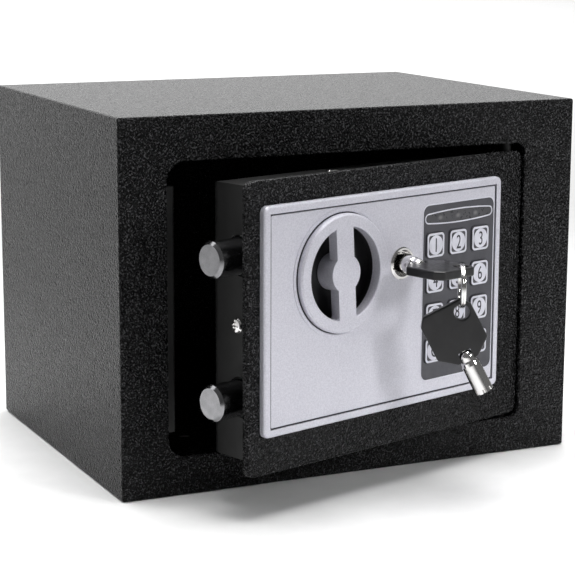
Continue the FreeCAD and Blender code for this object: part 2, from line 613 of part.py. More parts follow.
def make_keypad():
    flat = "front_out + face_thick - face_sink"
    overlay = new_body("keypad_overlay")
    sketch = new_sketch(overlay, "XZ_Plane", flat + " - pad_thick")
    rectangle(sketch, "pad_left + pad_slack", "pad_right - pad_slack",
              "pad_low + pad_slack", "pad_top - pad_slack")
    for index in range(ROWS * COLUMNS):
        x, z = key_centre(index)
        half = "(key_size / 2 + key_slack)"
        rectangle(sketch, x + " - " + half, x + " + " + half, z + " - " + half, z + " + " + half)
    outline(sketch, window_outline("0.05"))
    pad(overlay, sketch, "pad_thick")
    edge = (val("pad_left") + 0.5, val("pad_right") - 0.5)
    round_edges(overlay, "pad_round - pad_slack",
                lambda e: is_along(e, ALONG_Y) and not edge[0] < e.CenterOfMass.x < edge[1])
    round_edges(overlay, "key_round",
                lambda e: is_along(e, ALONG_Y) and e.CenterOfMass.z < val("lamp_high") - 5
                and edge[0] < e.CenterOfMass.x < edge[1] and e.CenterOfMass.z > val("pad_low") + 1.5
                and min(abs(abs(e.CenterOfMass.x - number("key_first + %d * key_pitch" % c))
                            - number("key_size / 2 + key_slack")) for c in range(COLUMNS)) < 0.05)
    round_window(overlay)
    node(overlay, "keypad_overlay", DOOR)

    window = new_body("indicator_window")
    sketch = new_sketch(window, "XZ_Plane", flat + " - pad_thick")
    outline(sketch, window_outline("0"))
    pad(window, sketch, "pad_thick")
    round_window(window)
    node(window, "indicator_window", DOOR)

    board = new_body("keypad_board")
    sketch = new_sketch(board, "XZ_Plane", "85.7")
    rectangle(sketch, "pad_left + pocket_edge + 0.3", "pad_right - pocket_edge - 0.3",
              "pad_low + pocket_edge + 0.3", "pad_top - pocket_edge - 0.3")
    pad(board, sketch, "1.6")
    node(board, "keypad_board", DOOR)

    lamps = []
    for index in range(3):
        lamps.append(level_rod("lamp_%d" % index, "lamp_radius", "lamp_first + %d * lamp_pitch" % index,
                               "lamp_high", "87.3", "89.2"))
    node(group("status_lights", lamps), "status_lights", DOOR)

    for index, label in enumerate(BUTTONS):
        x, z = key_centre(index)
        name = "button_" + label
        body = new_body(name)
        sketch = new_sketch(body, "XZ_Plane", "key_back")
        rectangle(sketch, x + " - key_size / 2", x + " + key_size / 2",
                  z + " - key_size / 2", z + " + key_size / 2")
        pad(body, sketch, "key_front - key_back")
        round_edges(body, "key_round", lambda e: is_along(e, ALONG_Y))
        front = -val("key_front")
        round_edges(body, "0.5", lambda e: e.BoundBox.YMax < front + 1e-4)
        node(body, name, DOOR)


# ---------------------------------------------------------------- knob and boltwork

def make_knob():
    knob = turned("knob", [
        ("ring_inner", "0 - skirt_back"), ("skirt_radius", "0 - skirt_back"),
        ("skirt_radius", "0 - knob_back"), ("knob_radius", "0 - knob_back"),
        ("knob_radius", "0.8 - knob_front"), ("knob_radius - 0.8", "0 - knob_front"),
        ("ring_inner + 0.3", "0 - knob_front"), ("ring_inner", "0.3 - knob_front")])
    bar = new_sketch(knob, "XZ_Plane", "skirt_back")
    rectangle(bar, "0 - bar_half", "bar_half", "0 - ring_inner - 0.6", "ring_inner + 0.6")
    pad(knob, bar, "knob_front - skirt_back")
    corner = val("ring_inner") - 1
    round_edges(knob, "window_round", lambda e: is_along(e, ALONG_Y) and e.Length > 4
                and abs(e.CenterOfMass.z) > corner - 1 and abs(e.CenterOfMass.x) < val("bar_half") + 0.1)
    hub = new_sketch(knob, "XZ_Plane", "hub_back")
    circle(hub, "0", "0", "boss_radius")
    pad(knob, hub, "knob_front - hub_back")
    lean = Rotation(Vector(0, -1, 0), val("knob_lean"))
    place = Placement(Vector(val("knob_x"), 0, val("knob_z")), lean)
    node(knob, "knob", DOOR.multiply(place))

    # shaft with a crank arm and pin, drawn upright and turned to the locked side
    shaft = level_rod("crank_shaft", "shaft_radius", "0", "0", "crank_back", "hub_back")
    round_end = level_rod("crank_end", "crank_half", "0", "crank_arm", "crank_back", "crank_front")
    arm = box("crank_web", "0 - crank_half", "crank_half", "crank_front", "crank_back", "0", "crank_arm")
    pin = level_rod("crank_pin_rod", "crank_pin", "0", "crank_arm", "pin_back", "crank_back")
    crank = joined("knob_crank", [shaft, round_end, arm, pin])
    turn = Rotation(Vector(0, -1, 0), 45)
    node(crank, "knob_crank", DOOR.multiply(Placement(Vector(val("knob_x"), 0, val("knob_z")), turn)))


def make_boltwork():
    for name, high in (("bolt_upper", "bolt_high"), ("bolt_lower", "bolt_low")):
        bolt = turned(name, [("bolt_end", "0"), ("bolt_end", "bolt_radius - bolt_chamfer"),
                             ("bolt_end + bolt_chamfer", "bolt_radius"), ("bolt_tail", "bolt_radius"),
                             ("bolt_tail", "0")], "H_Axis")
        flat = new_sketch(bolt, "XY_Plane")
        rectangle(flat, "bar_left - 0.3", "bolt_tail + 1", "bolt_flat", "bolt_radius + 1")
        pocket(bolt, flat, "bolt_radius * 3", both_ways=True)
        node(bolt, name, DOOR.multiply(at(0, val("bolt_out"), val(high))))

    front = "bolt_out - bolt_flat"
    carrier = new_body("bolt_carrier")
    sketch = new_sketch(carrier, "XZ_Plane", front + " - bar_thick")
    outline(sketch, [("bar_left", "bar_low"), ("bar_right", "bar_low"), ("bar_right", "tongue_low"),
                     ("tongue_right", "tongue_low"), ("tongue_right", "bar_top"), ("bar_left", "bar_top")])
    slot = "(knob_x - throw / 2)"
    rectangle(sketch, slot + " - crank_pin - slot_slack", slot + " + crank_pin + slot_slack",
              "knob_z + 3.3", "knob_z + 12.7")
    circle(sketch, "bar_left + rivet_inset", "bolt_high", "rivet_radius")
    circle(sketch, "bar_left + rivet_inset", "bolt_low", "rivet_radius")
    pad(carrier, sketch, "bar_thick")
    node(carrier, "bolt_carrier", DOOR)

    rivets = []
    for index, high in enumerate(("bolt_high", "bolt_low")):
        back = front + " - bar_thick"
        head = level_rod("rivet_head_%d" % index, "rivet_head", "bar_left + rivet_inset", high,
                         back + " - 2", back)
        shank = level_rod("rivet_shank_%d" % index, "rivet_radius", "bar_left + rivet_inset", high,
                          back, front)
        rivets.append(joined("rivet_%d" % index, [head, shank]))
    node(group("carrier_rivets", rivets), "carrier_rivets", DOOR)

    # angle plate that guides both bolts, fixed behind the door plate
    back_of_plate = "front_out - plate_thick"
    leaf = box("guide_leaf", "guide_left", "guide_right", back_of_plate, "guide_back",
               "guide_low", "guide_top")
    foot = box("guide_foot", "guide_right", "guide_right + foot_wide", back_of_plate,
               back_of_plate + " - foot_thick", "foot_low", "foot_top")
    angle = joined("guide_angle", [leaf, foot])
    bores = []
    for index, high in enumerate(("bolt_high", "bolt_low")):
        rod = doc.addObject("Part::Cylinder", "guide_bore_%d" % index)
        rod.Placement = Placement(Vector(0, 0, 0), Rotation(ALONG_Y, 90))
        rod.setExpression("Radius", formula("bolt_radius + bolt_fit"))
        rod.setExpression("Height", formula("guide_right - guide_left + 2"))
        rod.setExpression("Placement.Base.x", formula("guide_left - 1"))
        rod.setExpression("Placement.Base.y", formula("0 - bolt_out"))
        rod.setExpression("Placement.Base.z", formula(high))
        bores.append(rod)
    screw = doc.addObject("Part::Cylinder", "guide_screw_hole")
    screw.Placement = Placement(Vector(0, 0, 0), Rotation(ALONG_Y, 90))
    screw.setExpression("Radius", formula("screw_shank + pin_fit"))
    screw.setExpression("Height", formula("guide_right - guide_left + 2"))
    screw.setExpression("Placement.Base.x", formula("guide_left - 1"))
    screw.setExpression("Placement.Base.y", formula("0 - screw_out"))
    screw.setExpression("Placement.Base.z", formula("screw_high"))
    node(cut_away("bolt_guide", angle, joined("guide_bores", bores + [screw])), "bolt_guide", DOOR)

    # coil that holds the boltwork shut; its plunger rises beside the carrier's tongue
    coil = box("coil_block", "coil_left", "coil_right", "coil_front", "tray_back + tray_wall",
               "coil_low", "coil_top")
    bore = upright_rod("coil_bore", "plunger_radius + pin_fit", "plunger_x", "plunger_out",
                       "plunger_low - 1", "coil_top + 1")
    node(cut_away("solenoid", coil, bore), "solenoid", DOOR)
    node(group("solenoid_plunger", [upright_rod("plunger_rod", "plunger_radius", "plunger_x", "plunger_out",
                                              "plunger_low", "plunger_top")]),
         "solenoid_plunger", DOOR)


# ---------------------------------------------------------------- lock and keys

def make_lock():
    flat = "(front_out + face_thick - face_sink)"
    housing = turned("lock_housing", [
        ("bore_radius", "0 - barrel_back"), ("barrel_radius", "0 - barrel_back"),
        ("barrel_radius", "0 - " + flat), ("bezel_radius", "0 - " + flat),
        ("bezel_radius", "0.5 - bezel_front"), ("bezel_radius - 0.5", "0 - bezel_front"),
        ("recess_radius", "0 - bezel_front"), ("recess_radius", "0 - plug_front - 0.5"),
        ("bore_radius", "0 - plug_front - 0.5")])
    place = DOOR.multiply(at(val("lock_x"), 0, val("lock_z")))
    node(housing, "lock_housing", place)
    node(hex_nut("lock_nut", "lock_x", "lock_z", "10.4", "barrel_radius", "82", "84.5"), "lock_nut", DOOR)

    plug = turned("lock_plug", [
        ("0", "0 - spindle_back"), ("3", "0 - spindle_back"), ("3", "0 - plug_back"),
        ("plug_radius", "0 - plug_back"), ("plug_radius", "0 - plug_front"),
        ("tube_radius + 0.1", "0 - plug_front"), ("tube_radius + 0.1", "3.2 - plug_front"),
        ("tube_inner - 0.1", "3.2 - plug_front"), ("tube_inner - 0.1", "0 - plug_front"),
        ("0", "0 - plug_front")])
    node(plug, "lock_plug", place)

    # lever on the plug's tail
    lever = new_body("lock_cam")
    sketch = new_sketch(lever, "XZ_Plane", "spindle_back")
    outline(sketch, [("0 - 5", "5"), ("0 - 5", "0 - 5"), ("0 - 3.5", "0 - 15"), ("3.5", "0 - 15"),
                     ("5", "0 - 5"), ("5", "5")])
    circle(sketch, "0", "0", "3")
    pad(lever, sketch, "plug_back - spindle_back")
    round_edges(lever, "2", lambda e: is_along(e, ALONG_Y) and e.CenterOfMass.z < -10)
    node(lever, "lock_cam", place)


DOME_STEPS = 9


def make_key(prefix, place):
    """Tubular key: barrel along +Y from the origin, flat head along -Y, eye at +X."""
    dome = []
    meets_stem = math.acos(val("stem_radius") / val("dome_radius"))
    for step in range(DOME_STEPS + 1):
        angle = meets_stem * step / DOME_STEPS
        dome.append(("dome_radius * %.4f" % math.cos(angle),
                     "0 - dome_collar - dome_radius * %.4f" % math.sin(angle)))
    barrel = turned(prefix + "_barrel", [
        ("tube_inner", "tube_long"), ("tube_radius", "tube_long"), ("tube_radius", "2.6"),
        ("tube_radius - 0.3", "1.1"), ("dome_radius", "0.3")] + dome + [
        ("dome_radius * %.4f" % math.cos(meets_stem), "0 - stem_long"), ("0", "0 - stem_long"),
        ("0", "4"), ("tube_inner", "4")])
    cuts = new_sketch(barrel, "XZ_Plane", "0 - tube_long")
    for index, turn in enumerate(range(0, 360, 45)):
        angle = math.radians(turn)
        circle(cuts, "tube_radius * %.4f" % math.cos(angle), "tube_radius * %.4f" % math.sin(angle),
               "cut_radius")
    pocket(barrel, cuts, "cut_long", backwards=True)
    node(barrel, prefix + "_barrel", place)

    head = new_body(prefix + "_head")
    sketch = new_sketch(head, "XY_Plane", "0 - head_thick / 2")
    half = [("head_neck", "0"), ("head_half", "0 - head_flare"),
            ("head_half", "head_chamfer - head_long"), ("head_crown", "0 - head_long")]
    mirrored = [("0 - " + x, y) for x, y in reversed(half)]
    outline(sketch, half + mirrored)
    circle(sketch, "eye_across", "eye_inset - head_long", "eye_radius")
    pad(head, sketch, "head_thick")
    round_edges(head, "1.5", lambda e: is_along(e, ALONG_Z) and e.CenterOfMass.y < -2)
    level = val("head_thick") / 2
    round_edges(head, "head_fillet",
                lambda e: abs(abs(e.BoundBox.ZMin) - level) < 1e-4 and e.BoundBox.ZLength < 1e-4
                and not (abs(e.BoundBox.YMin) < 1e-4 and abs(e.BoundBox.YMax) < 1e-4))
    notch = new_sketch(head, "XZ_Plane")
    circle(notch, "0", "0", "dome_radius")
    pocket(head, notch, "dome_collar + dome_radius", backwards=True)
    socket = new_sketch(head, "XZ_Plane")
    circle(socket, "0", "0", "stem_radius")
    pocket(head, socket, "stem_long", backwards=True)
    node(head, prefix + "_head", place)


def make_keys():
    make_key("key", DOOR.multiply(at(val("lock_x"), val("head_out"), val("lock_z"))))

    # the ring stands edge-on to the eye's rim: yaw turns its plane about the upright
    yaw = Rotation(ALONG_Z, val("ring_yaw"))
    across = yaw.multVec(ALONG_X)
    away = yaw.multVec(ALONG_Y)
    eye = Vector(val("lock_x") + val("eye_across"),
                 -(val("head_out") + val("head_long") - val("eye_inset")), val("lock_z"))
    strip = (val("eye_radius") + val("eye_inset") / abs(away.y)) / 2
    pivot = eye.sub(Vector(away).multiply(strip))
    centre = pivot.sub(Vector(0, 0, val("ring_drop")))
    coils = []
    for index, side in enumerate((-1, 1)):
        coil = doc.addObject("Part::Torus", "ring_coil_%d" % index)
        coil.setExpression("Radius1", formula("ring_radius"))
        coil.setExpression("Radius2", formula("wire_radius"))
        coil.setExpression("Placement.Base.z", formula("%d * wire_gap" % side))
        coils.append(coil)
    ring = joined("split_ring", coils)
    upright = Rotation(ALONG_Y, 90)
    node(ring, "split_ring", DOOR.multiply(Placement(centre, yaw.multiply(upright))))

    # the spare key hangs from the ring by its eye, leaning until it balances
    lean = Rotation(away.negative(), val("spare_lean"))
    turn = lean.multiply(yaw).multiply(Rotation(ALONG_X, -90))
    wire = centre.sub(Vector(0, 0, val("ring_radius")))
    spare_eye = wire.sub(Vector(0, 0, val("spare_drop")))
    eye_local = Vector(val("eye_across"), val("eye_inset") - val("head_long"), 0)
    base = spare_eye.sub(turn.multVec(eye_local))
    make_key("spare_key", DOOR.multiply(Placement(base, turn)))


# ---------------------------------------------------------------- inside the door

# parts soldered to the front of the board: left, right, front, lower and upper edge
BOARD_PARTS = {
    "board_chip": (24, 36, 63.6, 110, 122),
    "board_driver": (44, 50, 63.2, 98, 106),
    "board_socket": (28, 44, 66, 128, 134),
}
POSTS = [("post_left", "post_low"), ("post_left", "post_top"),
         ("post_right", "post_low"), ("post_right", "post_top")]
CELLS = 4
GRIPS = 4


def make_board():
    pieces = [box("board_sheet", "board_left", "board_right", "board_front", "board_back",
                  "board_low", "board_top")]
    for name, (left, right, front, low, top) in BOARD_PARTS.items():
        pieces.append(box(name, str(left), str(right), str(front), "board_front", str(low), str(top)))
    node(joined("main_board", pieces), "main_board", DOOR)
    posts = []
    for index, (x, z) in enumerate(POSTS):
        posts.append(level_rod("post_%d" % index, "post_radius", x, z, "tray_back + tray_wall",
                               "board_back"))
    node(group("board_posts", posts), "board_posts", DOOR)
    front = "0 - board_front - buzzer_tall"
    buzzer = turned("buzzer", [("buzzer_hole", "0 - board_front"), ("buzzer_radius", "0 - board_front"),
                               ("buzzer_radius", front), ("buzzer_hole", front)])
    node(buzzer, "buzzer", DOOR.multiply(at(val("buzzer_x"), 0, val("buzzer_z"))))
    reset = turned("reset_button", [
        ("0", "0 - reset_back"), ("reset_radius - 0.3", "0 - reset_back"),
        ("reset_radius", "0 - reset_back - 0.3"), ("reset_radius", "0 - reset_step"),
        ("reset_flange", "0 - reset_step"), ("reset_flange", "0 - reset_front"), ("0", "0 - reset_front")])
    node(reset, "reset_button", DOOR.multiply(at(val("reset_x"), 0, val("reset_z"))))


def make_battery_box():
    """Holder open to the rear, cells in it, and a cover that slides off sideways."""
    shell = box("holder_shell", "holder_left", "holder_right", "holder_front", "tray_back + tray_wall",
                "holder_low", "holder_top")
    hollow = box("holder_hollow", "holder_left + holder_wall", "holder_right - holder_wall",
                 "holder_front - holder_floor", "tray_back + tray_wall - 1",
                 "holder_low + holder_wall", "holder_top - holder_wall")
    node(cut_away("battery_holder", shell, hollow), "battery_holder", DOOR)
    cells = []
    for index in range(CELLS):
        x = "cell_first + %d * cell_pitch" % index
        can = upright_rod("cell_can_%d" % index, "cell_radius", x, "cell_out", "cell_low", "cell_top")
        tip = upright_rod("cell_tip_%d" % index, "tip_radius", x, "cell_out", "cell_top",
                          "cell_top + tip_tall")
        cells.append(joined("cell_%d" % index, [can, tip]))
    node(group("battery_cells", cells), "battery_cells", DOOR)
    cover = new_body("battery_cover")
    sketch = new_sketch(cover, "XZ_Plane", "tray_back - cover_back")
    rectangle(sketch, "cover_left", "cover_right", "holder_low", "holder_top")
    pad(cover, sketch, "cover_thick")
    round_edges(cover, "cover_round", lambda e: is_along(e, ALONG_Y))
    grips = new_sketch(cover, "XZ_Plane", "tray_back - cover_back")
    for index in range(GRIPS):
        left = "grip_first + %d * grip_pitch" % index
        rectangle(grips, left, left + " + grip_wide", "grip_low", "grip_top")
    pocket(cover, grips, "grip_deep", backwards=True)
    node(cover, "battery_cover", DOOR)


# ---------------------------------------------------------------- build, check, write

make_cabinet()
make_door_shell()
make_faceplate()
make_keypad()
make_knob()
make_boltwork()
make_lock()
make_keys()
make_board()
make_battery_box()
doc.recompute()

for item in doc.Objects:
    if "Invalid" in item.State or "Error" in item.State:
        raise RuntimeError("%s: %s" % (item.Name, item.State))

os.makedirs("parts", exist_ok=True)
for name, item in NODES:
    shape = item.Shape
    if shape.isNull() or not shape.isValid():
        raise RuntimeError(name + " has no valid shape")
    shape.exportStep("parts/%s.step" % name)
print("%d nodes written" % len(NODES))
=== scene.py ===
import json
import math

import bmesh
import bpy
from mathutils import Matrix, Vector


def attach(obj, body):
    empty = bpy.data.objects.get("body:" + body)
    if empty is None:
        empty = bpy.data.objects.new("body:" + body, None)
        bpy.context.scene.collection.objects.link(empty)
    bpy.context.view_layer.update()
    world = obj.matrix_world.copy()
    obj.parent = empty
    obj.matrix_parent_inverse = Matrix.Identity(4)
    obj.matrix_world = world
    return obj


# Small electronic safe with its door ajar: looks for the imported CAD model.
# Metres throughout, in the model's own frame.  MM turns millimetres into metres.

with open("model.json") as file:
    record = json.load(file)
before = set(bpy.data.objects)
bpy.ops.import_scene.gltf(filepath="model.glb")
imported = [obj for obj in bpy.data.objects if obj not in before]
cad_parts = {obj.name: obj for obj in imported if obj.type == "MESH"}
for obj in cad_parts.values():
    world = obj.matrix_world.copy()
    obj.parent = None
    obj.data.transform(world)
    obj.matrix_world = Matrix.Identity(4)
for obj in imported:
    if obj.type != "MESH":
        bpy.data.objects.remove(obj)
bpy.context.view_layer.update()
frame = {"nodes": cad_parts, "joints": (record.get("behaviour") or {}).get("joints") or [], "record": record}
MM = 0.001

# The door's own frame: the shut door, with "out" = -Y.  It is swung about the hinge joint's
# axis by the angle that the joint still has to travel until the door is shut.
joint_of = {joint["name"]: joint for joint in frame["joints"]}
hinge = Vector(joint_of["door_hinge"]["pos_m"])
door_swing = math.radians(-joint_of["door_hinge"]["range_deg"][0])
DOOR = Matrix.Translation(hinge) @ Matrix.Rotation(door_swing, 4, "Z") @ Matrix.Translation(-hinge)
SHUT = DOOR.inverted()


def door_box(node):
    """Lowest and highest corner of a CAD node in the shut door's frame."""
    points = [SHUT @ vertex.co for vertex in frame["nodes"][node].data.vertices]
    low = Vector([min(point[axis] for point in points) for axis in range(3)])
    high = Vector([max(point[axis] for point in points) for axis in range(3)])
    return low, high


# ---------------------------------------------------------------- camera, stage, light

CAMERA_AZIMUTH = math.radians(-25.24)
CAMERA_ELEVATION = math.radians(11.07)
CAMERA_ROLL = math.radians(0.217)
CAMERA_PLACE = Vector((-0.38697, -0.83437, 0.25197))
CAMERA_LENS = 117.13
SENSOR = 36
FLOOR_HALF = 20.0           # metres from the middle of the floor to its edge
FLOOR_DROP = 0.0002         # the floor lies this far under the base, so that they don't flicker
ROOM_LIGHT = 0.14           # even light from all round


def make_camera():
    """Camera at the photograph's angle, with its small roll."""
    flat = math.cos(CAMERA_ELEVATION)
    back = Vector((math.sin(CAMERA_AZIMUTH) * flat, -math.cos(CAMERA_AZIMUTH) * flat,
                   math.sin(CAMERA_ELEVATION)))
    right = Vector((math.cos(CAMERA_AZIMUTH), math.sin(CAMERA_AZIMUTH), 0))
    up = back.cross(right)
    rolled_right = right * math.cos(CAMERA_ROLL) + up * math.sin(CAMERA_ROLL)
    rolled_up = up * math.cos(CAMERA_ROLL) - right * math.sin(CAMERA_ROLL)
    data = bpy.data.cameras.new("camera")
    data.lens = CAMERA_LENS
    data.sensor_width = SENSOR
    data.clip_start = 0.01
    data.clip_end = 50
    camera = bpy.data.objects.new("camera", data)
    turn = Matrix((rolled_right, rolled_up, back)).transposed()
    camera.matrix_world = Matrix.Translation(CAMERA_PLACE) @ turn.to_4x4()
    bpy.context.scene.collection.objects.link(camera)
    bpy.context.scene.camera = camera


def make_floor():
    """Plain pale floor."""
    side = FLOOR_HALF
    mesh = bpy.data.meshes.new("floor")
    corners = [(-side, -side, 0), (side, -side, 0), (side, side, 0), (-side, side, 0)]
    mesh.from_pydata(corners, [], [(0, 1, 2, 3)])
    floor = bpy.data.objects.new("floor", mesh)
    floor.location.z = -FLOOR_DROP
    bpy.context.scene.collection.objects.link(floor)
    material, tree, shader = new_material("floor_paper")
    colour_from(tree, shader, noise(tree, 60, 3), (0.83, 0.83, 0.83), (0.86, 0.86, 0.86))
    shader.inputs["Roughness"].default_value = 0.9
    floor.data.materials.append(material)


def softbox(name, place, target, wide, tall, power, spread=180):
    """Rectangular soft light at place, facing target; a grid narrows its spread."""
    data = bpy.data.lights.new(name, "AREA")
    data.shape = "RECTANGLE"
    data.size = wide
    data.size_y = tall
    data.energy = power
    data.spread = math.radians(spread)
    light = bpy.data.objects.new(name, data)
    light.location = place
    light.rotation_mode = "QUATERNION"
    light.rotation_quaternion = (Vector(target) - Vector(place)).to_track_quat("-Z", "Y")
    light.visible_camera = False
    bpy.context.scene.collection.objects.link(light)


def make_lights():
    """Soft light from above, from behind for the top's sheen, and from the front right."""
    softbox("overhead", (0.0, -0.05, 0.95), (0.05, -0.02, 0), 0.55, 0.55, 2.3, 75)
    softbox("behind", (0.6, 3.2, 1.2), (0, 0, 0.3), 5.0, 2.0, 34)
    softbox("key_light", (0.75, -1.25, 0.75), (0, 0, 0.08), 0.3, 0.3, 0.5, 40)
    softbox("far_floor", (0, 4.8, 3.0), (0, 4.8, 0), 8, 8, 400)
    world = bpy.data.worlds.new("studio")
    world.use_nodes = True
    background = world.node_tree.nodes["Background"]
    background.inputs["Color"].default_value = (1.0, 1.0, 1.0, 1)
    background.inputs["Strength"].default_value = ROOM_LIGHT
    bpy.context.scene.world = world
    bpy.context.scene.view_settings.view_transform = "Standard"


# ---------------------------------------------------------------- material helpers

def new_material(name):
    material = bpy.data.materials.new(name)
    material.use_nodes = True
    tree = material.node_tree
    return material, tree, tree.nodes["Principled BSDF"]


def coordinates(tree, stretch=(1, 1, 1)):
    """Object coordinates in metres, stretched along the axes."""
    place = tree.nodes.new("ShaderNodeTexCoord")
    mapping = tree.nodes.new("ShaderNodeMapping")
    mapping.inputs["Scale"].default_value = stretch
    tree.links.new(place.outputs["Object"], mapping.inputs["Vector"])
    return mapping.outputs["Vector"]


# Scales are in features to the metre, because the coordinates are in metres.

def noise(tree, scale, detail=2.0, stretch=(1, 1, 1), roughness=0.5):
    node = tree.nodes.new("ShaderNodeTexNoise")
    node.inputs["Scale"].default_value = scale
    node.inputs["Detail"].default_value = detail
    node.inputs["Roughness"].default_value = roughness
    tree.links.new(coordinates(tree, stretch), node.inputs["Vector"])
    return node.outputs["Fac"]


def cells(tree, scale, smooth=0.6):
    """Distance from the middle of the nearest rounded cell."""
    node = tree.nodes.new("ShaderNodeTexVoronoi")
    node.feature = "SMOOTH_F1"
    node.inputs["Scale"].default_value = scale
    node.inputs["Smoothness"].default_value = smooth
    tree.links.new(coordinates(tree), node.inputs["Vector"])
    return node.outputs["Distance"]


def colour_from(tree, shader, factor, dark, light, low=0.35, high=0.65):
    """Base colour running from dark to light with the factor."""
    ramp = tree.nodes.new("ShaderNodeValToRGB")
    ramp.color_ramp.elements[0].position = low
    ramp.color_ramp.elements[0].color = (*dark, 1)
    ramp.color_ramp.elements[1].position = high
    ramp.color_ramp.elements[1].color = (*light, 1)
    tree.links.new(factor, ramp.inputs["Fac"])
    tree.links.new(ramp.outputs["Color"], shader.inputs["Base Color"])


def roughness_from(tree, shader, factor, smooth, rough):
    span = tree.nodes.new("ShaderNodeMapRange")
    span.inputs["From Min"].default_value = 0.3
    span.inputs["From Max"].default_value = 0.7
    span.inputs["To Min"].default_value = smooth
    span.inputs["To Max"].default_value = rough
    tree.links.new(factor, span.inputs["Value"])
    tree.links.new(span.outputs["Result"], shader.inputs["Roughness"])


def bump_from(tree, shader, height, distance, strength=1.0, under=None):
    """Bump of the given depth in metres, on top of an earlier bump if there is one."""
    bump = tree.nodes.new("ShaderNodeBump")
    bump.inputs["Distance"].default_value = distance
    bump.inputs["Strength"].default_value = strength
    tree.links.new(height, bump.inputs["Height"])
    if under is not None:
        tree.links.new(under.outputs["Normal"], bump.inputs["Normal"])
    tree.links.new(bump.outputs["Normal"], shader.inputs["Normal"])
    return bump


# ---------------------------------------------------------------- materials

PEBBLES_PER_METRE = 1000
PEBBLE_DEPTH = 0.0008


def hammered_coat():
    """Black powder coat: domed pebbles a millimetre wide, with pale flecks on some of their tops."""
    material, tree, shader = new_material("hammered_coat")
    colour_from(tree, shader, noise(tree, 1300, 0.5), (0.001, 0.001, 0.0012), (0.065, 0.065, 0.068),
                0.54, 0.74)
    roughness_from(tree, shader, noise(tree, 500, 2), 0.2, 0.3)
    shader.inputs["Specular IOR Level"].default_value = 0.13
    grain = cells(tree, PEBBLES_PER_METRE, 0.3)
    squared = tree.nodes.new("ShaderNodeMath")
    squared.operation = "MULTIPLY"
    tree.links.new(grain, squared.inputs[0])
    tree.links.new(grain, squared.inputs[1])
    pebbles = bump_from(tree, shader, squared.outputs["Value"], PEBBLE_DEPTH)
    pebbles.invert = True
    bump_from(tree, shader, noise(tree, 4000, 1.0), 0.0001, 0.4, under=pebbles)
    return material


def satin_coat():
    """Smooth satin black paint of the tray, with faint orange peel."""
    material, tree, shader = new_material("satin_coat")
    colour_from(tree, shader, noise(tree, 40, 4), (0.007, 0.007, 0.007), (0.012, 0.012, 0.012))
    roughness_from(tree, shader, noise(tree, 250, 3), 0.34, 0.46)
    shader.inputs["Specular IOR Level"].default_value = 0.3
    bump_from(tree, shader, noise(tree, 320, 2), 0.0002, 0.25)
    return material


def silver_lacquer():
    """Satin silver lacquer with a fine fleck."""
    material, tree, shader = new_material("silver_lacquer")
    colour_from(tree, shader, noise(tree, 1600, 2), (0.56, 0.555, 0.62), (0.66, 0.655, 0.72))
    shader.inputs["Metallic"].default_value = 0.35
    roughness_from(tree, shader, noise(tree, 120, 4, stretch=(1, 1, 0.25)), 0.36, 0.48)
    bump_from(tree, shader, noise(tree, 2400, 2), 0.00005, 0.35)
    return material


def polished_chrome():
    """Bright plating with faint handling marks."""
    material, tree, shader = new_material("polished_chrome")
    colour_from(tree, shader, noise(tree, 80, 4), (0.78, 0.77, 0.76), (0.86, 0.85, 0.84))
    shader.inputs["Metallic"].default_value = 1.0
    roughness_from(tree, shader, noise(tree, 260, 5, roughness=0.65), 0.05, 0.14)
    bump_from(tree, shader, noise(tree, 700, 2), 0.00003, 0.2)
    return material


def plated_bolt():
    """Turned steel with satin plating on the bolts."""
    material, tree, shader = new_material("plated_bolt")
    colour_from(tree, shader, noise(tree, 300, 4), (0.24, 0.24, 0.25), (0.3, 0.3, 0.31))
    shader.inputs["Metallic"].default_value = 1.0
    roughness_from(tree, shader, noise(tree, 900, 3), 0.12, 0.2)
    bump_from(tree, shader, noise(tree, 1500, 2), 0.00004, 0.3)
    return material


def zinc_plate():
    """Pale zinc plating with a cloudy spangle."""
    material, tree, shader = new_material("zinc_plate")
    colour_from(tree, shader, cells(tree, 420), (0.42, 0.43, 0.44), (0.58, 0.58, 0.57), 0.2, 0.7)
    shader.inputs["Metallic"].default_value = 1.0
    roughness_from(tree, shader, noise(tree, 300, 4), 0.26, 0.42)
    bump_from(tree, shader, noise(tree, 1200, 2), 0.00005, 0.3)
    return material


def moulded_plastic(name, dark, light, smooth, rough, grain=1500, depth=0.00006):
    """Moulded plastic with a fine sparked grain."""
    material, tree, shader = new_material(name)
    colour_from(tree, shader, noise(tree, 180, 4), dark, light)
    roughness_from(tree, shader, noise(tree, 600, 3), smooth, rough)
    bump_from(tree, shader, noise(tree, grain, 2), depth, 0.5)
    return material


def circuit_board():
    """Green solder mask over copper tracks."""
    material, tree, shader = new_material("circuit_board")
    tracks = tree.nodes.new("ShaderNodeTexBrick")
    tracks.inputs["Scale"].default_value = 260
    tracks.inputs["Mortar Size"].default_value = 0.03
    tracks.inputs["Color1"].default_value = (0.012, 0.10, 0.04, 1)
    tracks.inputs["Color2"].default_value = (0.018, 0.13, 0.055, 1)
    tracks.inputs["Mortar"].default_value = (0.05, 0.24, 0.11, 1)
    tree.links.new(coordinates(tree), tracks.inputs["Vector"])
    tree.links.new(tracks.outputs["Color"], shader.inputs["Base Color"])
    roughness_from(tree, shader, noise(tree, 400, 3), 0.25, 0.4)
    bump_from(tree, shader, tracks.outputs["Fac"], 0.00004, 0.5)
    return material


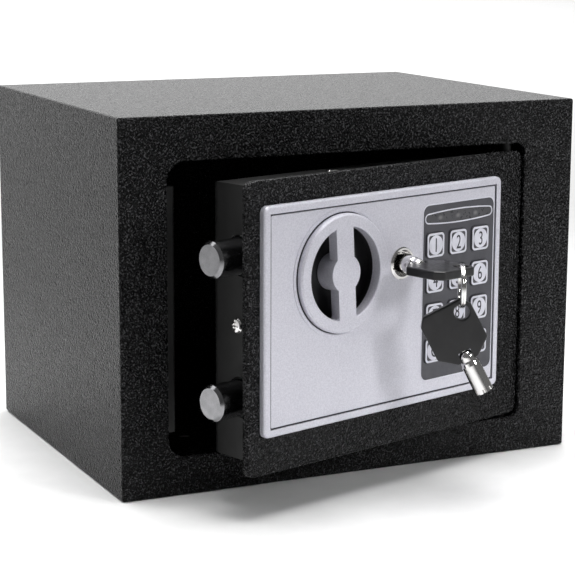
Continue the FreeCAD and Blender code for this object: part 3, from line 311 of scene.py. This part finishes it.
def cell_sleeve():
    """Printed sleeve of a battery cell: a dark band and a copper-coloured band."""
    material, tree, shader = new_material("cell_sleeve")
    height = tree.nodes.new("ShaderNodeSeparateXYZ")
    tree.links.new(coordinates(tree), height.inputs["Vector"])
    colour_from(tree, shader, height.outputs["Z"], (0.02, 0.02, 0.022), (0.45, 0.2, 0.07), 0.064, 0.0645)
    roughness_from(tree, shader, noise(tree, 300, 3), 0.2, 0.32)
    bump_from(tree, shader, noise(tree, 500, 2), 0.00003, 0.3)
    return material


def light_spot():
    """Unlit lens: pale in the middle, fading to the panel at its edge."""
    material, tree, shader = new_material("light_spot")
    place = tree.nodes.new("ShaderNodeTexCoord")
    mapping = tree.nodes.new("ShaderNodeMapping")
    mapping.inputs["Location"].default_value = (-1, -1, -1)
    mapping.inputs["Scale"].default_value = (2, 2, 2)
    tree.links.new(place.outputs["Generated"], mapping.inputs["Vector"])
    fade = tree.nodes.new("ShaderNodeTexGradient")
    fade.gradient_type = "SPHERICAL"
    tree.links.new(mapping.outputs["Vector"], fade.inputs["Vector"])
    colour_from(tree, shader, fade.outputs["Fac"], (0.06, 0.06, 0.068), (0.16, 0.16, 0.16), 0.0, 0.75)
    roughness_from(tree, shader, noise(tree, 800, 2), 0.3, 0.4)
    bump_from(tree, shader, noise(tree, 1800, 2), 0.00003, 0.3)
    return material


def make_materials():
    plastic = moulded_plastic
    return {
        "black_coat": hammered_coat(),
        "satin_black": satin_coat(),
        "silver_face": silver_lacquer(),
        "black_plastic": plastic("black_plastic", (0.006, 0.006, 0.007), (0.011, 0.011, 0.012), 0.3, 0.42),
        "dark_panel": plastic("dark_panel", (0.05, 0.05, 0.06), (0.062, 0.062, 0.073), 0.42, 0.55),
        "smoked_window": plastic("smoked_window", (0.05, 0.05, 0.055), (0.06, 0.06, 0.066), 0.25, 0.35),
        "light_lens": plastic("light_lens", (0.25, 0.25, 0.25), (0.3, 0.3, 0.3), 0.2, 0.3),
        "button_silver": plastic("button_silver", (0.6, 0.6, 0.67), (0.7, 0.7, 0.77), 0.3, 0.42),
        "chrome": polished_chrome(),
        "bolt": plated_bolt(),
        "zinc_steel": zinc_plate(),
        "circuit_board": circuit_board(),
        "white_plastic": plastic("white_plastic", (0.62, 0.6, 0.54), (0.7, 0.68, 0.62), 0.4, 0.5),
        "cell_wrap": cell_sleeve(),
        "red_plastic": plastic("red_plastic", (0.4, 0.012, 0.012), (0.5, 0.02, 0.02), 0.25, 0.35),
        # ink prints the key figures, and is also used for the painted shade lines in the faceplate's groove
        # and round the knob's foot
        "ink": plastic("ink", (0.02, 0.02, 0.028), (0.03, 0.03, 0.04), 0.5, 0.6),
        "spot": light_spot(),
    }


def dress_cad_nodes():
    """Every CAD node takes the material of its slot in the record."""
    special = {"bolt_upper": "bolt", "bolt_lower": "bolt", "tray_screws": "chrome"}
    for button in BUTTONS:
        special["button_" + button] = "dark_panel"
    for row in frame["record"]["subparts"]:
        node = row["node"]
        mesh = frame["nodes"][node].data
        mesh.materials.clear()
        mesh.materials.append(MATERIALS[special.get(node, row["material_slot"])])


# ---------------------------------------------------------------- mesh helpers

def door_piece(name, mesh_builder, body, material):
    """Finish a bmesh drawn in the shut door's frame as a piece riding on a body."""
    mesh = bpy.data.meshes.new(name)
    bmesh.ops.recalc_face_normals(mesh_builder, faces=mesh_builder.faces)
    mesh_builder.transform(DOOR)
    mesh_builder.to_mesh(mesh)
    mesh_builder.free()
    piece = bpy.data.objects.new(name, mesh)
    bpy.context.scene.collection.objects.link(piece)
    piece.data.materials.append(MATERIALS[material])
    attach(piece, body)
    return piece


def rounded_rectangle(x, z, wide, tall, radius, steps=6):
    """Closed outline with round corners, as (x, z) points."""
    points = []
    for corner, (side, level) in enumerate(((1, 1), (-1, 1), (-1, -1), (1, -1))):
        middle_x = x + side * (wide / 2 - radius)
        middle_z = z + level * (tall / 2 - radius)
        for step in range(steps + 1):
            angle = math.radians(90 * (corner + step / steps))
            points.append((middle_x + radius * math.cos(angle), middle_z + radius * math.sin(angle)))
    return points


def circle(x, z, radius, steps=96):
    """Closed round outline, as (x, z) points."""
    turns = [math.tau * step / steps for step in range(steps)]
    return [(x + radius * math.cos(turn), z + radius * math.sin(turn)) for turn in turns]


def lens(x, z, half, end, middle, steps=24):
    """Long outline that is widest at its middle, with round ends."""
    points = []
    for side in (1, -1):
        for step in range(-steps, steps + 1):
            along = -side * step / steps * (half - end)
            bulge = middle - (middle - end) * (along / (half - end)) ** 2
            points.append((x + along, z + side * bulge))
        centre = x - side * (half - end)
        for step in range(1, steps):
            angle = math.pi * step / steps
            points.append((centre - side * end * math.sin(angle), z + side * end * math.cos(angle)))
    return points


def loop(builder, outline, out):
    """Vertices of an outline, standing this far out of the shut door's plane of zero depth."""
    return [builder.verts.new((x, -out, z)) for x, z in outline]


def bridge(builder, first, second):
    """Faces between two loops with the same number of points."""
    count = len(first)
    for i in range(count):
        j = (i + 1) % count
        builder.faces.new((first[i], first[j], second[j], second[i]))


def framing_band(name, outside, inside, back, front, edge, body, material):
    """Flat band between two outlines with the same number of points, its front edges eased."""
    builder = bmesh.new()

    def eased(outline, towards):
        points = []
        for (x, z), (target_x, target_z) in zip(outline, towards):
            share = edge / math.hypot(target_x - x, target_z - z)
            points.append((x + (target_x - x) * share, z + (target_z - z) * share))
        return points

    loops = [
        loop(builder, inside, back),
        loop(builder, outside, back),
        loop(builder, outside, front - edge),
        loop(builder, eased(outside, inside), front),
        loop(builder, eased(inside, outside), front),
        loop(builder, inside, front - edge),
    ]
    for i in range(len(loops)):
        bridge(builder, loops[i], loops[(i + 1) % len(loops)])
    return door_piece(name, builder, body, material)


def turned_disc(name, x, z, profile, steps, body, material):
    """Disc turned about the line (x, z); the profile holds (radius, out) from rim to middle."""
    builder = bmesh.new()
    rings = []
    for radius, out in profile:
        rings.append(loop(builder, circle(x, z, radius, steps), out))
    for first, second in zip(rings, rings[1:]):
        bridge(builder, first, second)
    builder.faces.new(rings[0])
    builder.faces.new(rings[-1])
    return door_piece(name, builder, body, material)


def lettering(name, text, x, z, tall, narrow, out, raised, body, material):
    """Raised figure, centred on (x, z) in the shut door's frame."""
    curve = bpy.data.curves.new(name, "FONT")
    curve.body = text
    curve.align_x = "CENTER"
    curve.align_y = "CENTER"
    curve.size = 1
    curve.resolution_u = 4
    source = bpy.data.objects.new(name, curve)
    bpy.context.scene.collection.objects.link(source)
    bpy.context.view_layer.update()
    mesh = bpy.data.meshes.new_from_object(source.evaluated_get(bpy.context.evaluated_depsgraph_get()))
    bpy.data.objects.remove(source)
    bpy.data.curves.remove(curve)
    builder = bmesh.new()
    builder.from_mesh(mesh)
    bpy.data.meshes.remove(mesh)
    bmesh.ops.remove_doubles(builder, verts=builder.verts, dist=1e-5)
    xs = [vertex.co.x for vertex in builder.verts]
    ys = [vertex.co.y for vertex in builder.verts]
    size = tall / (max(ys) - min(ys))
    middle = ((max(xs) + min(xs)) / 2, (max(ys) + min(ys)) / 2)
    for vertex in builder.verts:
        across = (vertex.co.x - middle[0]) * size * narrow
        high = (vertex.co.y - middle[1]) * size
        vertex.co = Vector((x + across, -out, z + high))
    grown = bmesh.ops.extrude_face_region(builder, geom=list(builder.faces))
    for item in grown["geom"]:
        if isinstance(item, bmesh.types.BMVert):
            item.co.y -= raised
    return door_piece(name, builder, body, material)


# ---------------------------------------------------------------- keypad

BUTTONS = ["1", "2", "3", "4", "5", "6", "7", "8", "9", "clear", "0", "enter"]
LEGENDS = {"clear": "C", "enter": "E"}


KEY_MARGIN = 0.5 * MM       # bare border round a key's silver outline, both sides together
KEY_BAND = 0.95 * MM        # width of the silver outline
DISC_MARGIN = 1.25 * MM     # from the key's edge to the disc's edge
DISC_RIBS = 3
RIB_PITCH = 0.62 * MM
FIGURE_TALL = 6.3 * MM
FIGURE_NARROW = 0.72        # the figures' width against the plain font's


def make_button_faces():
    """Silver outline, ribbed disc and figure on each key, over its dark face."""
    for button in BUTTONS:
        low, high = door_box("button_" + button)
        body = "key_" + button
        x = (low.x + high.x) / 2
        z = (low.z + high.z) / 2
        face = -low.y
        wide = high.x - low.x
        outer = wide - KEY_MARGIN
        inner = outer - 2 * KEY_BAND
        framing_band("key_outline_" + button,
                     rounded_rectangle(x, z, outer, outer, 1.9 * MM),
                     rounded_rectangle(x, z, inner, inner, 1.1 * MM),
                     face - 0.3 * MM, face + 0.12 * MM, 0.08 * MM, body, "button_silver")
        rim = wide / 2 - DISC_MARGIN
        profile = [(rim, face - 0.1 * MM), (rim, face + 0.1 * MM)]
        for ring in range(DISC_RIBS):
            crest = rim - 0.25 * MM - ring * RIB_PITCH
            profile.append((crest, face + 0.24 * MM))
            profile.append((crest - 0.18 * MM, face + 0.24 * MM))
            profile.append((crest - 0.36 * MM, face + 0.14 * MM))
        profile.append((rim - 2.2 * MM, face + 0.2 * MM))
        turned_disc("key_disc_" + button, x, z, profile, 48, body, "button_silver")
        lettering("key_figure_" + button, LEGENDS.get(button, button), x, z, FIGURE_TALL, FIGURE_NARROW,
                  face + 0.17 * MM, 0.11 * MM, body, "ink")


FACE_SINK = 0.5 * MM        # the faceplate's flat lies this far behind its rim
GROOVE_INSET = 3.5 * MM     # from the faceplate's edge to the groove
# width of the painted shade line in the faceplate's groove
GROOVE_SHADE_WIDTH = 0.5 * MM
LAMPS = 3
LAMP_WIDE = 4.6 * MM
LAMP_TALL = 2.5 * MM


def make_shade_lines():
    """Thin dark lines of painted shade: the faceplate's groove, the foot of the knob."""
    low, high = door_box("faceplate")
    flat = -low.y - FACE_SINK
    wide = high.x - low.x - 2 * GROOVE_INSET
    tall = high.z - low.z - 2 * GROOVE_INSET
    x = (low.x + high.x) / 2
    z = (low.z + high.z) / 2
    # painted shade: a dark ink band laid in the faceplate's groove, where there is only shade
    framing_band("groove_painted_shade", rounded_rectangle(x, z, wide, tall, 1.4 * MM),
                 rounded_rectangle(x, z, wide - 2 * GROOVE_SHADE_WIDTH, tall - 2 * GROOVE_SHADE_WIDTH, 1.0 * MM),
                 flat - 0.3 * MM, flat + 0.03 * MM, 0.01 * MM, "door", "ink")
    low, high = door_box("knob")
    x = (low.x + high.x) / 2
    z = (low.z + high.z) / 2
    radius = (high.x - low.x) / 2
    # painted shade: a dark ink ring round the foot of the knob, where the knob's side shades the plate
    framing_band("knob_foot_painted_shade", circle(x, z, radius + 0.55 * MM), circle(x, z, radius - 0.3 * MM),
                 flat - 0.3 * MM, flat + 0.03 * MM, 0.01 * MM, "door", "ink")


def make_panel_trim():
    """Pale line round the keypad panel and round the indicator window, and three unlit lights."""
    low, high = door_box("keypad_overlay")
    face = -low.y
    x = (low.x + high.x) / 2
    z = (low.z + high.z) / 2
    wide = high.x - low.x
    tall = high.z - low.z
    framing_band("panel_outline", rounded_rectangle(x, z, wide + 0.5 * MM, tall + 0.5 * MM, 4.1 * MM),
                 rounded_rectangle(x, z, wide - 0.7 * MM, tall - 0.7 * MM, 3.5 * MM),
                 face - 0.05 * MM, face + 0.18 * MM, 0.1 * MM, "door", "button_silver")
    low, high = door_box("indicator_window")
    x = (low.x + high.x) / 2
    z = (low.z + high.z) / 2
    half = (high.x - low.x) / 2
    middle = (high.z - low.z) / 2
    end = middle * 0.68
    framing_band("window_outline", lens(x, z, half + 0.35 * MM, end + 0.35 * MM, middle + 0.35 * MM),
                 lens(x, z, half - 0.25 * MM, end - 0.25 * MM, middle - 0.25 * MM),
                 face - 0.05 * MM, face + 0.15 * MM, 0.08 * MM, "door", "button_silver")
    lamps_low, lamps_high = door_box("status_lights")
    first = lamps_low.x + (lamps_high.z - lamps_low.z) / 2
    last = lamps_high.x - (lamps_high.z - lamps_low.z) / 2
    for index in range(LAMPS):
        lamp_x = first + (last - first) * index / (LAMPS - 1)
        builder = bmesh.new()
        outline = rounded_rectangle(lamp_x, z, LAMP_WIDE, LAMP_TALL, 1.1 * MM)
        inner = rounded_rectangle(lamp_x, z, LAMP_WIDE - 1.0 * MM, LAMP_TALL - 1.0 * MM, 0.6 * MM)
        back = loop(builder, outline, face - 0.1 * MM)
        edge = loop(builder, outline, face + 0.01 * MM)
        crown = loop(builder, inner, face + 0.07 * MM)
        bridge(builder, back, edge)
        bridge(builder, edge, crown)
        builder.faces.new(back)
        builder.faces.new(crown)
        door_piece("light_spot_%d" % index, builder, "door", "spot")


# ---------------------------------------------------------------- build

MATERIALS = make_materials()
make_camera()
make_floor()
make_lights()
dress_cad_nodes()
make_button_faces()
make_panel_trim()
make_shade_lines()
